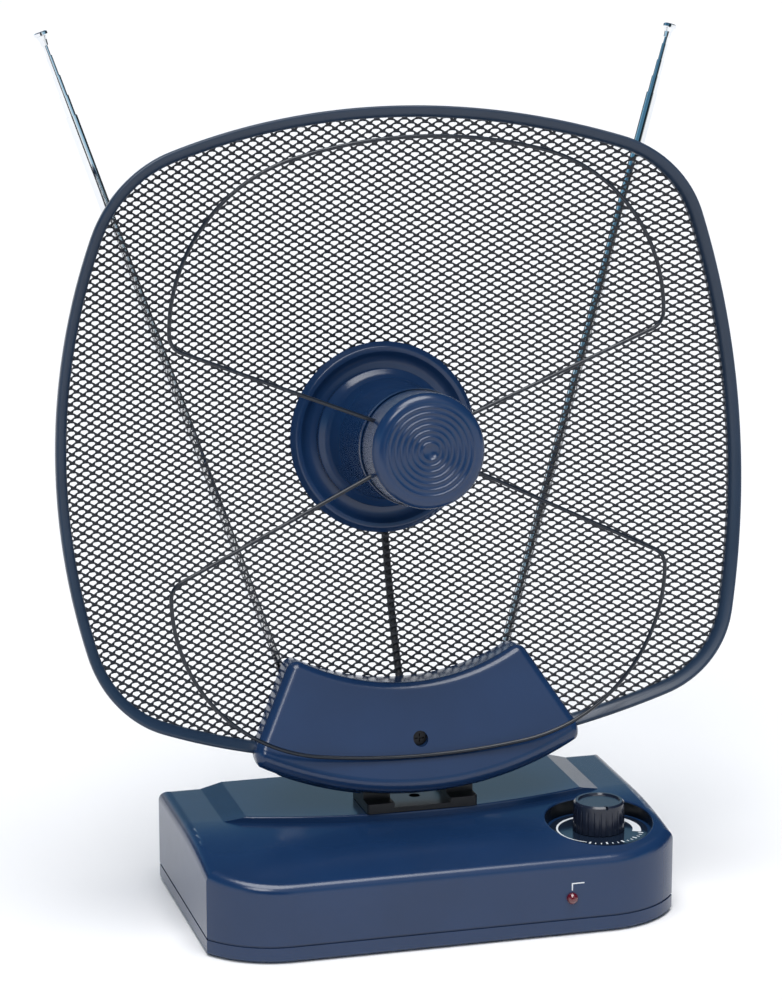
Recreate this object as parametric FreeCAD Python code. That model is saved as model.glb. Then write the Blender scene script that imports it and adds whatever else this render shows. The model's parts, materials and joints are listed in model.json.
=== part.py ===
import FreeCAD, Part
import math
import os

from FreeCAD import Placement, Rotation, Vector

# Amplified indoor aerial. Millimetres, +Z up, the front faces -Y, and +X is to the right when it is
# seen from the front. The origin is the centre of the face that the base rests on.

# --- base ---
base_width = 205.0
base_depth = 115.0
base_top = 41.6
crease_y = -39.6
front_corner_radius = 40.0
top_slope_radius = 280.0
top_slope_start_y = 10.0
top_edge_radius = 4.8
wall = 2.5
plate_bottom = 0.8
seam_z = 7.1
seam_groove_depth = 0.6
seam_groove_height = 0.9

platform_top = 44.0
platform_half_width = 75.0
ramp_width = 9.5
platform_back_y = 53.5
platform_lip_y = -7.6
platform_lip_end_y = 4.2
platform_lip_radius = 0.7

dial_x = 73.8
dial_y = -25.0
dial_recess_radius = 23.2
dial_floor = 34.4
dial_rim_radius = 0.6
knob_radius = 11.2
knob_top = 48.0
knob_flutes = 24
shaft_radius = 3.0

lamp_x = 51.3
lamp_z = 16.9
lamp_radius = 2.5

coax_x = -30.0
coax_radius = 4.76
coax_length = 11.0
jack_x = -52.0
jack_bore_radius = 2.75
socket_z = 21.0

coax_collar_radius = 6.0
coax_inside = 9.0
insulator_radius = 3.4
contact_hole_radius = 0.5
nut_radius = 6.9
nut_thickness = 2.2
jack_half = 5.0
jack_depth = 12.0
jack_bore_depth = 9.5
jack_pin_radius = 1.05

foot_radius = 6.5
foot_depth = 1.0
foot_places = [(-80.0, -34.0), (80.0, -34.0), (-86.0, 28.0), (86.0, 28.0), (0.0, 0.0)]
screw_places = [(-40.0, -46.0), (40.0, -46.0), (-88.0, 44.0), (88.0, 44.0)]
post_radius = 3.8
base_screw_head = (3.0, 1.8)            # radius, height
base_screw_shank = (1.4, 18.0)
base_screw_bottom = plate_bottom + 0.6
tray_floor = 2.2

board_half_width = 55.0
board_y = (-38.0, 30.0)
board_bottom = 10.0
board_thickness = 1.6
board_stand_radius = 3.0
board_stand_inset = 6.0
can_half_width = 22.0
can_y = (-20.0, 14.0)
can_height = 11.0
can_wall = 0.6
potentiometer_radius = 8.0
potentiometer_depth = 7.0
bush_radius = shaft_radius + 1.5
shaft_bottom = dial_floor - wall - 4.8
shaft_top = knob_top - 4.0
scale_thickness = 0.3
knob_gap = 0.6
flute_radius = 0.8

# --- neck ---
swivel_y = 6.0
turntable_gap = 0.3
turntable_thickness = 2.2
neck_half_width = 24.5
neck_y = (-7.5, 18.5)
neck_corner_radius = 1.2
ear_inner = 12.6
ear_shoulder_z = 48.6
spigot_radius = 9.0
lead_bore_radius = 2.4
retainer_radius = 13.0
running_gap = 0.05
hinge_y = 5.0
hinge_z = 55.5
hinge_pin_radius = 2.0
knuckle_radius = 5.0

# --- head frame: X across, Y up along the reflector, Z forward out of it ---
tilt = 7.5
head_y = 20.0
head_z = 199.5

dish_radius = 296.0
dish_depth = -41.0
dish_sheet = 0.8
dish_half_width = 151.4
dish_top = 143.6
dish_bottom = 136.8
dish_side_radius = 299.0
dish_side_centre_height = -8.3
dish_top_radius = 312.0
dish_bottom_radius = 305.0
dish_top_corner = 56.0
dish_bottom_corner = 51.0
rim_width = 5.0
rim_thickness = 5.0
mesh_inset = 1.5
mesh_hole_radius = 12.0

# --- centre boss ---
flange_radius = 42.0
boss_step_radius = 30.0
boss_step = dish_depth + 8.5
boss_split = boss_step - 3.6
boss_waist_radius = 23.0
cap_radius = 25.0
cap_seam = 18.5
cap_face = 38.6
cap_edge_radius = 4.5
board_radius = 18.5
boss_bore_radius = 19.0
lead_hole_radius = 5.0
clamp_radius = 28.0
clamp_rear = dish_depth - 5.0
clamp_screw_circle = 22.5
clamp_screw_head = (3.2, 1.6)           # radius, height
clamp_screw_shank = (1.5, 14.0)

# --- wire loops, in one plane through the cap that leans forward from the reflector ---
loop_plane_at_axis = 25.0
loop_plane_slope = 0.1
loop_wire_radius = 0.85
loop_terminal_radius = 15.0
loop_corner_radius = 8.0
upper_crown = (131.2, 200.0, 15.5)      # crown height, crown radius, half angle of the crown arc
upper_shoulder_radius = 73.1
upper_corner_turn = 68.0
lower_crown = (133.6, 330.0, 7.8)
lower_shoulder_radius = 73.8
lower_corner_turn = 64.0

# --- shoe: a sector of a ring about the boss axis ---
shoe_inner = 103.5
shoe_outer = 151.5
shoe_half_angle = 29.7
shoe_rear_inner = 111.0
shoe_rear_half_angle = 26.7
shoe_front_at_wire = 10.2
shoe_front_slope = -0.42
shoe_face_outer = 146.8
shoe_draft = (-1.0, 19.0)               # heights between which the lower wall leans in
shoe_wire_height = -133.0
shoe_rear_depth = 8.0
shoe_wall = 2.4
shoe_side_wall_angle = 1.1
shoe_front_rounding = 4.8
shoe_screw_height = -126.4
shoe_screw_seat = 3.6
shoe_screw_head = (3.2, 1.4)            # radius, height
shoe_screw_shank = (1.5, -1.4, 6.0)     # radius, start, length
shoe_rear_screw_head = (2.8, -13.8, 2.0)
shoe_rear_screw_shank = (1.3, -12.5, 16.5)
shoe_rear_screw_x = 32.0
shoe_rear_screw_height = -141.5
shoe_post_radius = 3.6
pillar_radius = 7.0
tongue_plate = ((-146.0, -121.4), (-1.4, 2.5))      # limits up the reflector, and out of it

# --- telescopic rods ---
pivot_x = {"left": -43.6, "right": 47.2}
pivot_height = -118.0
rod_plane = dish_depth
rod_swing = {"left": 18.4, "right": -17.4}
rod_rest_out = {"left": 9.0, "right": 7.5}
socket_start = 8.0
tube_bottom = 10.0
tube_top = 276.0
tube_radii = (2.5, 2.05, 1.7, 1.35, 1.0)
section_length = 262.0
section_step = 7.0
pivot_disc_radius = 6.5
pivot_disc_thickness = 5.6
pivot_screw_radius = 2.0
pivot_screw_length = 22.0
pivot_head = (4.6, 2.3, 2.6)            # radius, height, how far its end stands behind the disc

# --- downlead ---
downlead_radius = 1.6
downlead_top = -26.0
downlead_bottom = -112.0

HEAD = Placement(Vector(0, head_y, head_z), Rotation(Vector(1, 0, 0), 90 - tilt))
X_AXIS = Vector(1, 0, 0)
Y_AXIS = Vector(0, 1, 0)
Z_AXIS = Vector(0, 0, 1)


def box(x, y, z):
    """A box from pairs of limits along X, Y and Z."""
    return Part.makeBox(x[1] - x[0], y[1] - y[0], z[1] - z[0], Vector(x[0], y[0], z[0]))


def rod(radius, start, length, axis=Z_AXIS):
    return Part.makeCylinder(radius, length, Vector(*start), axis)


def ring(outer, inner, start, length, axis=Z_AXIS):
    return rod(outer, start, length, axis).cut(rod(inner, start, length, axis))


def fuse(shapes):
    """One shape from several that overlap or touch."""
    return shapes[0].fuse(shapes[1:]).removeSplitter()


def group(shapes):
    """Separate solids kept in one node."""
    return Part.makeCompound(shapes)


def polar(centre, radius, degrees):
    angle = math.radians(degrees)
    return centre + Vector(radius * math.cos(angle), radius * math.sin(angle), 0)


def arc(centre, radius, start, end):
    """An arc in the XY plane between two angles in degrees."""
    points = [polar(centre, radius, a) for a in (start, (start + end) / 2, end)]
    return Part.Arc(*points).toShape()


def line(a, b):
    return Part.LineSegment(a, b).toShape()


def prism(wire, bottom, top):
    """A solid between two heights over a closed wire that lies at height 0."""
    face = Part.Face(wire)
    face.translate(Vector(0, 0, bottom))
    return face.extrude(Vector(0, 0, top - bottom))


def revolve(profile):
    """A solid of revolution about Z from (radius, height) points."""
    points = [Vector(r, 0, z) for r, z in profile]
    face = Part.Face(Part.makePolygon(points + points[:1]))
    return face.revolve(Vector(0, 0, 0), Z_AXIS, 360)


def to_head(shape):
    """Move a shape from the head frame to the object's frame."""
    moved = shape.copy()
    moved.Placement = HEAD.multiply(moved.Placement)
    return moved


# --- base shapes ---

def base_outline(inset):
    """Plan of the base: straight back and sides, a crease on each side and a bowed front."""
    half = base_width / 2 - inset
    back = base_depth / 2 - inset
    front = -base_depth / 2 + inset
    radius = front_corner_radius - inset
    rise = crease_y - front
    corner_x = half - math.sqrt(2 * radius * rise - rise * rise)
    centre = Vector(corner_x, front + radius, 0)
    sweep = math.degrees(math.atan2(crease_y - centre.y, half - corner_x))
    right = arc(centre, radius, sweep, -90)
    left = arc(Vector(-corner_x, centre.y, 0), radius, -90, -180 - sweep)
    edges = [
        line(Vector(half, back, 0), Vector(half, crease_y, 0)),
        right,
        line(Vector(corner_x, front, 0), Vector(-corner_x, front, 0)),
        left,
        line(Vector(-half, crease_y, 0), Vector(-half, back, 0)),
        line(Vector(-half, back, 0), Vector(half, back, 0)),
    ]
    return Part.Wire(Part.__sortEdges__(edges))


def slope_height(y):
    """Height of the base's top at y: level at the back, then a gentle arc down to the front."""
    run = max(top_slope_start_y - y, 0)
    return base_top - (top_slope_radius - math.sqrt(top_slope_radius ** 2 - run ** 2))


def under_slope(drop):
    """Everything under the base's top, lowered by drop."""
    front = -base_depth
    middle = (front + top_slope_start_y) / 2
    points = [Vector(0, y, slope_height(y) - drop) for y in (top_slope_start_y, middle, front)]
    back = Vector(0, base_depth, base_top - drop)
    edges = [
        line(back, points[0]),
        Part.Arc(*points).toShape(),
        line(points[2], Vector(0, front, -1)),
        line(Vector(0, front, -1), Vector(0, base_depth, -1)),
        line(Vector(0, base_depth, -1), back),
    ]
    face = Part.Face(Part.Wire(edges))
    face.translate(Vector(-base_width, 0, 0))
    return face.extrude(Vector(2 * base_width, 0, 0))


def base_platform():
    """The raised middle of the top, with a ramp on each side and a lip bowed to the front."""
    foot = base_top - 2
    level = [(-platform_half_width - ramp_width, base_top), (-platform_half_width, platform_top)]
    profile = level + [(-x, z) for x, z in reversed(level)]
    profile = [(profile[0][0], foot)] + profile + [(profile[-1][0], foot)]
    points = [Vector(x, -base_depth / 2, z) for x, z in profile]
    face = Part.Face(Part.makePolygon(points + points[:1]))
    bar = face.extrude(Vector(0, platform_back_y + base_depth / 2, 0))
    bow = platform_lip_end_y - platform_lip_y
    half = platform_half_width
    radius = (half * half + bow * bow) / (2 * bow)
    bar = bar.common(rod(radius, (0, platform_lip_y + radius, foot), platform_top))
    lip = [e for e in bar.Edges if e.BoundBox.ZMin > platform_top - 0.01 and e.BoundBox.XLength > half]
    lip = [e for e in lip if e.BoundBox.YMax < platform_back_y - 1]
    return bar.makeFillet(platform_lip_radius, lip)


def make_base_cover():
    """The deep moulded shell, open below."""
    outer = prism(base_outline(0), seam_z + seam_groove_height, base_top + 1).common(under_slope(0))
    side = [e for e in outer.Edges if e.BoundBox.ZMin > seam_z + 5 and not is_upright(e)]
    outer = outer.makeFillet(top_edge_radius, side)
    band = prism(base_outline(seam_groove_depth), seam_z, seam_z + seam_groove_height + 0.1)
    inner = prism(base_outline(wall), seam_z - 1, base_top).common(under_slope(wall))
    cup_outer = rod(dial_recess_radius + 2, (dial_x, dial_y, dial_floor - wall), base_top)
    shell = fuse([outer, band, base_platform()]).cut(inner.cut(cup_outer))
    shell = shell.cut(rod(dial_recess_radius, (dial_x, dial_y, dial_floor), base_top))
    rounded = [e for e in shell.Edges if is_recess_edge(e)]
    shell = shell.makeFillet(dial_rim_radius, rounded)
    shell = shell.cut(rod(bush_radius, (dial_x, dial_y, 0), base_top))
    shell = shell.cut(rod(spigot_radius + running_gap, (0, swivel_y, 20), platform_top))
    shell = shell.cut(rod(lamp_radius, (lamp_x, -base_depth, lamp_z), base_depth, Y_AXIS))
    shell = shell.cut(rod(coax_collar_radius, (coax_x, 0, socket_z), base_depth, Y_AXIS))
    shell = shell.cut(jack_block(0, base_depth))
    posts = [screw_post(x, y, seam_z, slope_height(y) - 1.0) for x, y in screw_places]
    return fuse([shell] + posts).cut(group([base_screw(x, y) for x, y in screw_places]))


def is_upright(edge):
    return edge.BoundBox.ZLength > 20 and edge.BoundBox.XLength < 1


def is_recess_edge(edge):
    """The rim where the round dial recess meets the sloping top."""
    box_ = edge.BoundBox
    near = abs(box_.Center.x - dial_x) < 1 and abs(box_.XLength - 2 * dial_recess_radius) < 0.5
    return near and box_.ZMin > dial_floor + 0.5


def screw_post(x, y, bottom, top):
    return rod(post_radius, (x, y, bottom), top - bottom)


def base_screw(x, y):
    """A self-tapping screw driven up through the base plate, with its head in a pocket."""
    sizes = (base_screw_head, base_screw_shank)
    return fuse([rod(radius, (x, y, base_screw_bottom), length) for radius, length in sizes])


def make_base_plate():
    """The shallow tray that closes the base from below."""
    outer = prism(base_outline(0), plate_bottom, seam_z)
    foot = [e for e in outer.Edges if e.BoundBox.ZMax < plate_bottom + 0.01]
    outer = outer.makeChamfer(0.9, foot)
    tray = outer.cut(prism(base_outline(wall), plate_bottom + tray_floor, seam_z + 1))
    posts = [screw_post(x, y, plate_bottom + 1, seam_z) for x, y in screw_places]
    stand_height = board_bottom - plate_bottom - 1
    stands = [rod(board_stand_radius, (x, y, plate_bottom + 1), stand_height) for x, y in board_stands()]
    tray = fuse([tray] + posts + stands)
    tray = tray.cut(group([base_screw(x, y) for x, y in screw_places]))
    for x, y in screw_places:
        tray = tray.cut(rod(base_screw_head[0], (x, y, 0), base_screw_bottom))
    return tray.cut(make_rubber_feet())


def board_stands():
    """Places of the four stands under the circuit board's corners."""
    x = board_half_width - board_stand_inset
    depths = (board_y[0] + board_stand_inset, board_y[1] - board_stand_inset)
    return [(side * x, y) for side in (-1, 1) for y in depths]


def make_rubber_feet():
    """Four feet near the corners, and one under the neck."""
    return group([rod(foot_radius, (x, y, 0), plate_bottom + foot_depth) for x, y in foot_places])


def make_base_screws():
    return group([base_screw(x, y) for x, y in screw_places])


# --- inside the base ---

def make_amplifier_board():
    """Circuit board with its larger parts."""
    z = board_bottom + board_thickness
    board = box((-board_half_width, board_half_width), board_y, (board_bottom, z))
    parts = [
        rod(4.0, (-40, -24, z - 0.1), 9),
        rod(4.0, (-28, -24, z - 0.1), 9),
        rod(2.5, (-40, -10, z - 0.1), 7),
        box((30, 38), (-30, -22), (z - 0.1, z + 5)),
        box((34, 46), (0, 6), (z - 0.1, z + 4)),
        rod(3.0, (40, 16, z - 0.1), 6),
    ]
    return fuse([board] + parts)


def make_shield_can():
    z = board_bottom + board_thickness
    can = box((-can_half_width, can_half_width), can_y, (z, z + can_height))
    x = can_half_width - can_wall
    y = (can_y[0] + can_wall, can_y[1] - can_wall)
    return can.cut(box((-x, x), y, (z - 1, z + can_height - can_wall)))


def make_gain_potentiometer():
    """Body below the dial floor, with the threaded bush up through it."""
    top = dial_floor - wall
    body = rod(potentiometer_radius, (dial_x, dial_y, top - potentiometer_depth), potentiometer_depth)
    bush = rod(bush_radius, (dial_x, dial_y, top - 1), dial_floor - top + 1)
    tag_y = (dial_y + potentiometer_radius - 1, dial_y + potentiometer_radius + 4)
    tags = [box((dial_x + dx - 1, dial_x + dx + 1), tag_y, (top - 5, top - 4)) for dx in (-4, 0, 4)]
    bore = rod(shaft_radius + running_gap, (dial_x, dial_y, shaft_bottom - 0.2), knob_top)
    return fuse([body, bush] + tags).cut(bore)


def make_gain_shaft():
    return rod(shaft_radius, (dial_x, dial_y, shaft_bottom), shaft_top - shaft_bottom)


def make_dial_scale():
    """A thin printed ring on the floor of the recess."""
    outer = dial_recess_radius - 2.0
    return ring(outer, shaft_radius + 1.8, (dial_x, dial_y, dial_floor), scale_thickness)


def make_gain_knob():
    """Fluted knob with a shallow dished top, a pointer groove and a hollow underside."""
    bottom = dial_floor + knob_gap
    body = revolve([(0, bottom), (knob_radius, bottom), (knob_radius - 0.35, knob_top - 0.8),
                    (knob_radius - 1.1, knob_top), (knob_radius - 2.2, knob_top),
                    (knob_radius - 2.6, knob_top - 0.7), (0, knob_top - 0.7)])
    for index in range(knob_flutes):
        place = polar(Vector(0, 0, bottom - 1), knob_radius + 0.35, 360.0 * index / knob_flutes)
        body = body.cut(rod(flute_radius, place, knob_top - bottom - 1.6))
    body = body.cut(box((-0.5, 0.5), (-knob_radius - 1, -knob_radius + 4.5), (knob_top - 1.4, knob_top + 1)))
    body = body.cut(ring(knob_radius - 1.8, shaft_radius + 2.2, (0, 0, bottom - 1), 9))
    body.translate(Vector(dial_x, dial_y, 0))
    return body.cut(make_gain_shaft())


def make_power_lamp():
    """A 5 mm lamp that sits in the front wall, with a flange behind it and two legs."""
    front = -base_depth / 2
    barrel = rod(lamp_radius, (lamp_x, front - 0.2, lamp_z), 7.2, Y_AXIS)
    dome = Part.makeSphere(lamp_radius, Vector(lamp_x, front - 0.2, lamp_z))
    flange = rod(2.9, (lamp_x, front + wall, lamp_z), 1.2, Y_AXIS)
    legs = [rod(0.25, (lamp_x + dx, front + 6, lamp_z), 14, Y_AXIS) for dx in (-1.27, 1.27)]
    return fuse([barrel, dome, flange] + legs)


def make_aerial_socket():
    """Threaded coax socket in the back wall, with a flange and nut."""
    back = base_depth / 2
    barrel = rod(coax_radius, (coax_x, back - coax_inside, socket_z), coax_inside + coax_length, Y_AXIS)
    collar = rod(coax_collar_radius, (coax_x, back - coax_inside, socket_z), coax_inside, Y_AXIS)
    corners = [polar(Vector(0, 0, 0), nut_radius, 60 * k) for k in range(7)]
    nut = prism(Part.Wire(Part.makePolygon(corners)), 0, nut_thickness)
    nut.rotate(Vector(0, 0, 0), X_AXIS, -90)
    nut.translate(Vector(coax_x, back, socket_z))
    body = fuse([barrel, collar, nut])
    mouth = rod(insulator_radius, (coax_x, back + coax_length - 1, socket_z), 2, Y_AXIS)
    contact = rod(contact_hole_radius, (coax_x, back + 2, socket_z), coax_length, Y_AXIS)
    return body.cut(mouth).cut(contact)


def make_power_jack():
    """Low-voltage jack: a block with a round mouth and a centre pin."""
    back = base_depth / 2
    bore = rod(jack_bore_radius, (jack_x, back - jack_bore_depth, socket_z), jack_depth, Y_AXIS)
    pin_start = back - jack_bore_depth - 0.5
    pin = rod(jack_pin_radius, (jack_x, pin_start, socket_z), jack_bore_depth - 0.5, Y_AXIS)
    return fuse([jack_block(back - jack_depth, back).cut(bore), pin])


def jack_block(front, back):
    """Square block of the power jack between two places along Y."""
    return box((jack_x - jack_half, jack_x + jack_half), (front, back),
               (socket_z - jack_half, socket_z + jack_half))


# --- neck ---

def make_swivel_turntable():
    """Foot block with a slot between two hinge ears, and a spigot that turns in the cover."""
    low = platform_top + turntable_gap
    high = low + turntable_thickness
    block = box((-neck_half_width, neck_half_width), neck_y, (low, ear_shoulder_z))
    corners = [e for e in block.Edges if e.BoundBox.ZLength > turntable_thickness]
    block = block.makeFillet(neck_corner_radius, corners)
    shapes = [block.cut(box((-ear_inner, ear_inner), neck_y, (high, ear_shoulder_z)))]
    for inner, outer in ((ear_inner, neck_half_width), (-neck_half_width, -ear_inner)):
        width = outer - inner
        ear_y = (hinge_y - knuckle_radius, hinge_y + knuckle_radius)
        shapes.append(box((inner, outer), ear_y, (high, hinge_z)))
        shapes.append(rod(knuckle_radius, (inner, hinge_y, hinge_z), width, X_AXIS))
    spigot_bottom = base_top - wall - 3.5
    shapes.append(rod(spigot_radius, (0, swivel_y, spigot_bottom), high - spigot_bottom))
    table = fuse(shapes)
    table = table.cut(rod(lead_bore_radius, (0, swivel_y, spigot_bottom - 1), 30))
    return table.cut(hinge_pin_shape(0))


def make_swivel_retainer():
    """Spring washer that holds the spigot up against the cover from below."""
    top = slope_height(swivel_y - retainer_radius) - wall - turntable_gap
    return ring(retainer_radius, spigot_radius, (0, swivel_y, top - 1.6), 1.6)


def hinge_pin_shape(extra):
    start = (-neck_half_width + 0.5, hinge_y, hinge_z)
    return rod(hinge_pin_radius + extra, start, 2 * neck_half_width - 1.0, X_AXIS)


def make_hinge_pin():
    return hinge_pin_shape(0)


# --- reflector ---

def dish_outline(offset):
    """Rounded-square outline of eight tangent arcs, moved outwards by offset."""
    side = Vector(dish_half_width - dish_side_radius, dish_side_centre_height, 0)
    top = Vector(0, dish_top - dish_top_radius, 0)
    bottom = Vector(0, dish_bottom_radius - dish_bottom, 0)
    top_corner = meeting(side, dish_side_radius - dish_top_corner, top, dish_top_radius - dish_top_corner, 1)
    low_corner = meeting(side, dish_side_radius - dish_bottom_corner,
                         bottom, dish_bottom_radius - dish_bottom_corner, -1)
    a_side_top = heading(side, top_corner)
    a_top = heading(top, top_corner)
    a_side_low = heading(side, low_corner)
    a_bottom = heading(bottom, low_corner)
    right = [
        (low_corner, dish_bottom_corner, a_bottom, a_side_low),
        (side, dish_side_radius, a_side_low, a_side_top),
        (top_corner, dish_top_corner, a_side_top, a_top),
    ]
    edges = [arc(bottom, dish_bottom_radius + offset, -180 - a_bottom, a_bottom)]
    edges += [arc(c, r + offset, a, b) for c, r, a, b in right]
    edges.append(arc(top, dish_top_radius + offset, a_top, 180 - a_top))
    edges += [arc(Vector(-c.x, c.y, 0), r + offset, 180 - b, 180 - a) for c, r, a, b in reversed(right)]
    return Part.Wire(edges)


def meeting(c1, r1, c2, r2, side):
    """Where two circles cross; side picks the higher or the lower crossing."""
    gap = c2 - c1
    distance = gap.Length
    along = (distance ** 2 + r1 ** 2 - r2 ** 2) / (2 * distance)
    across = math.sqrt(r1 ** 2 - along ** 2)
    unit = gap / distance
    normal = Vector(-unit.y, unit.x, 0)
    options = [c1 + unit * along + normal * across, c1 + unit * along - normal * across]
    return max(options, key=lambda p: p.x + side * p.y)


def heading(centre, point):
    return math.degrees(math.atan2(point.y - centre.y, point.x - centre.x))


def dish_ball(offset):
    """Ball whose rear skin is the reflector's surface, moved back by offset."""
    return Part.makeSphere(dish_radius + offset, Vector(0, 0, dish_depth + dish_radius))


def dish_layer(shape, front, rear):
    """The part of shape between two skins in front of and behind the reflector's surface."""
    return shape.common(dish_ball(rear)).cut(dish_ball(-front))


def make_reflector_mesh():
    sheet = prism(dish_outline(-mesh_inset), -60, 60).cut(rod(mesh_hole_radius, (0, 0, -60), 120))
    return dish_layer(sheet, dish_sheet / 2, dish_sheet / 2).cut(group(clamp_screw_shapes()))


def rim_band():
    """The room that the rim takes, with the mesh's edge inside it."""
    band = prism(dish_outline(0), -60, 60).cut(prism(dish_outline(-rim_width), -61, 61))
    return dish_layer(band, rim_thickness / 2, rim_thickness / 2)


def make_reflector_rim():
    """Edging channel round the reflector."""
    slot = prism(dish_outline(-mesh_inset), -60, 60)
    return rim_band().cut(dish_layer(slot, dish_sheet / 2, dish_sheet / 2))


# --- centre boss ---

def make_boss_flange():
    """Disc clamped against the mesh, with a raised round edge."""
    profile = [(0, -60), (flange_radius, -60), (flange_radius, boss_step - 4.0),
               (flange_radius - 1.6, boss_step - 2.6), (flange_radius - 4.0, boss_step - 2.2),
               (boss_step_radius + 3.5, boss_split), (0, boss_split)]
    flange = revolve(profile).common(dish_ball(-dish_sheet / 2))
    flange = flange.cut(rod(lead_hole_radius, (0, 0, -60), 60))
    return flange.cut(group(clamp_screw_shapes()))


def make_boss_neck():
    """Hollow waisted neck that stands on the flange and carries the cap."""
    low = boss_step + 1.0
    foot = boss_step_radius + 0.6
    profile = [(0, boss_split), (foot, boss_split), (foot, boss_step - 3.0),
               (boss_step_radius, boss_step - 0.6), (boss_step_radius - 1.4, boss_step + 0.6)]
    profile += [(boss_step_radius - 2.2 - bend_in(k), low + k * (cap_seam - low) / 8) for k in range(9)]
    profile.append((0, cap_seam))
    neck = revolve(profile).cut(rod(boss_bore_radius, (0, 0, boss_split - 1), 100))
    return neck.cut(group(clamp_screw_shapes()))


def bend_in(step):
    """How far the waist is drawn in at one of its nine heights."""
    return (boss_step_radius - 2.2 - boss_waist_radius) * math.sin(math.radians(90.0 * step / 8)) ** 0.8


def make_boss_cap():
    """Cup-shaped cap with seven fine raised rings on its face."""
    cup = revolve([(0, cap_seam + 0.4), (cap_radius, cap_seam + 0.4), (cap_radius, cap_face), (0, cap_face)])
    edge = [e for e in cup.Edges if e.BoundBox.ZMin > cap_face - 0.01 and e.BoundBox.XLength > cap_radius]
    cup = cup.makeFillet(cap_edge_radius, edge)
    cup = cup.cut(rod(cap_radius - 2.4, (0, 0, cap_seam), cap_face - cap_seam - 2.4))
    lip = ring(cap_radius - 0.5, boss_bore_radius, (0, 0, cap_seam), 3.0)
    rings = [ring(3.6 + 2.5 * k, 3.25 + 2.5 * k, (0, 0, cap_face - 0.1), 0.35) for k in range(7)]
    return fuse([cup, lip] + rings).cut(group([loop_shape("upper"), loop_shape("lower")]))


def make_rear_clamp():
    """Round plate behind the mesh that clamps the boss."""
    disc = rod(clamp_radius, (0, 0, clamp_rear), 30).cut(dish_ball(dish_sheet / 2))
    disc = disc.cut(rod(lead_hole_radius, (0, 0, -60), 60)).cut(downlead_shape())
    return disc.cut(group(clamp_screw_shapes()))


def clamp_screw_shapes():
    """Three screws from behind, through the mesh into the boss."""
    screws = []
    for index in range(3):
        place = polar(Vector(0, 0, 0), clamp_screw_circle, 90 + 120 * index)
        head_radius, head_height = clamp_screw_head
        head = rod(head_radius, (place.x, place.y, clamp_rear - head_height), head_height)
        shank_radius, shank_length = clamp_screw_shank
        screws.append(fuse([head, rod(shank_radius, (place.x, place.y, clamp_rear - 0.1), shank_length)]))
    return screws


def make_clamp_screws():
    return group(clamp_screw_shapes())


def make_matching_board():
    """Round board across the top of the boss that joins the loops to the downlead."""
    board = rod(board_radius, (0, 0, cap_seam - 3.0), board_thickness)
    balun = ring(6.0, 3.0, (0, 0, cap_seam - 1.5), 3.5)
    return fuse([board, balun])


# --- wire loops ---

def loop_edges(crown, shoulder_radius, corner_turn):
    """A bow tie's half, drawn upwards in its own plane: leg, corner, shoulder, crown and back."""
    height, crown_radius, crown_angle = crown
    crown_centre = Vector(0, height - crown_radius, 0)
    crown_end = polar(crown_centre, crown_radius, 90 - crown_angle)
    shoulder_centre = polar(crown_end, -shoulder_radius, 90 - crown_angle)
    side = shoulder_centre + Vector(shoulder_radius, 0, 0)
    corner_centre = side - Vector(loop_corner_radius, 0, 0)
    corner_end = polar(corner_centre, loop_corner_radius, -corner_turn)
    leg = polar(Vector(0, 0, 0), 1, 270 - corner_turn)
    reach = -corner_end.dot(leg)
    miss = (corner_end + leg * reach).Length
    terminal = corner_end + leg * (reach - math.sqrt(loop_terminal_radius ** 2 - miss ** 2))
    right = [
        arc(shoulder_centre, shoulder_radius, 90 - crown_angle, 0),
        arc(corner_centre, loop_corner_radius, 0, -corner_turn),
        line(corner_end, terminal),
    ]
    left = [mirror_x(e) for e in reversed(right)]
    return left + [arc(crown_centre, crown_radius, 90 + crown_angle, 90 - crown_angle)] + right


def mirror_x(edge):
    return edge.mirror(Vector(0, 0, 0), X_AXIS)


def loop_shape(which):
    """One wire loop in the head frame."""
    if which == "upper":
        edges = loop_edges(upper_crown, upper_shoulder_radius, upper_corner_turn)
        lean, turn = math.degrees(math.atan(loop_plane_slope)), 0
    else:
        edges = loop_edges(lower_crown, lower_shoulder_radius, lower_corner_turn)
        lean, turn = -math.degrees(math.atan(loop_plane_slope)), 180
    path = Part.Wire(Part.__sortEdges__(edges))
    start = path.OrderedVertexes[0].Point
    along = path.OrderedEdges[0].tangentAt(path.OrderedEdges[0].FirstParameter)
    circle = Part.Wire(Part.makeCircle(loop_wire_radius, start, along))
    wire = path.makePipeShell([circle], True, True)
    wire.rotate(Vector(0, 0, 0), X_AXIS, lean)
    wire.rotate(Vector(0, 0, 0), Z_AXIS, turn)
    wire.translate(Vector(0, 0, loop_plane_at_axis))
    return wire


# --- shoe ---

def sector_outline(inner, outer, half_angle):
    origin = Vector(0, 0, 0)
    low, high = -90 - half_angle, -90 + half_angle
    edges = [
        arc(origin, outer, low, high),
        line(polar(origin, outer, high), polar(origin, inner, high)),
        arc(origin, inner, high, low),
        line(polar(origin, inner, low), polar(origin, outer, low)),
    ]
    return Part.Wire(edges)


def shoe_block(inner, half_angle, inset):
    """A shoe shell's outer form, or the hollow inside it, as a long prism with rounded corners."""
    angle = half_angle - (shoe_side_wall_angle if inset else 0)
    block = prism(sector_outline(inner + inset, shoe_outer - inset, angle), -60, 60)
    uprights = [e for e in block.Edges if e.BoundBox.ZLength > 100]
    middle = (inner + shoe_outer) / 2
    for is_inner, radius in ((False, 8.0), (True, 5.0)):
        chosen = [e for e in uprights if (from_axis(e) < middle) == is_inner]
        block = refillet(block, chosen, max(radius - inset, 1.5))
    return block


def from_axis(edge):
    return math.hypot(edge.BoundBox.Center.x, edge.BoundBox.Center.y)


def refillet(solid, edges, radius):
    """Round the edges of solid that lie where the given ones did."""
    places = [e.BoundBox.Center for e in edges]
    chosen = [e for e in solid.Edges if any((e.BoundBox.Center - p).Length < 0.1 for p in places)]
    return solid.makeFillet(radius, chosen)


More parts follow.
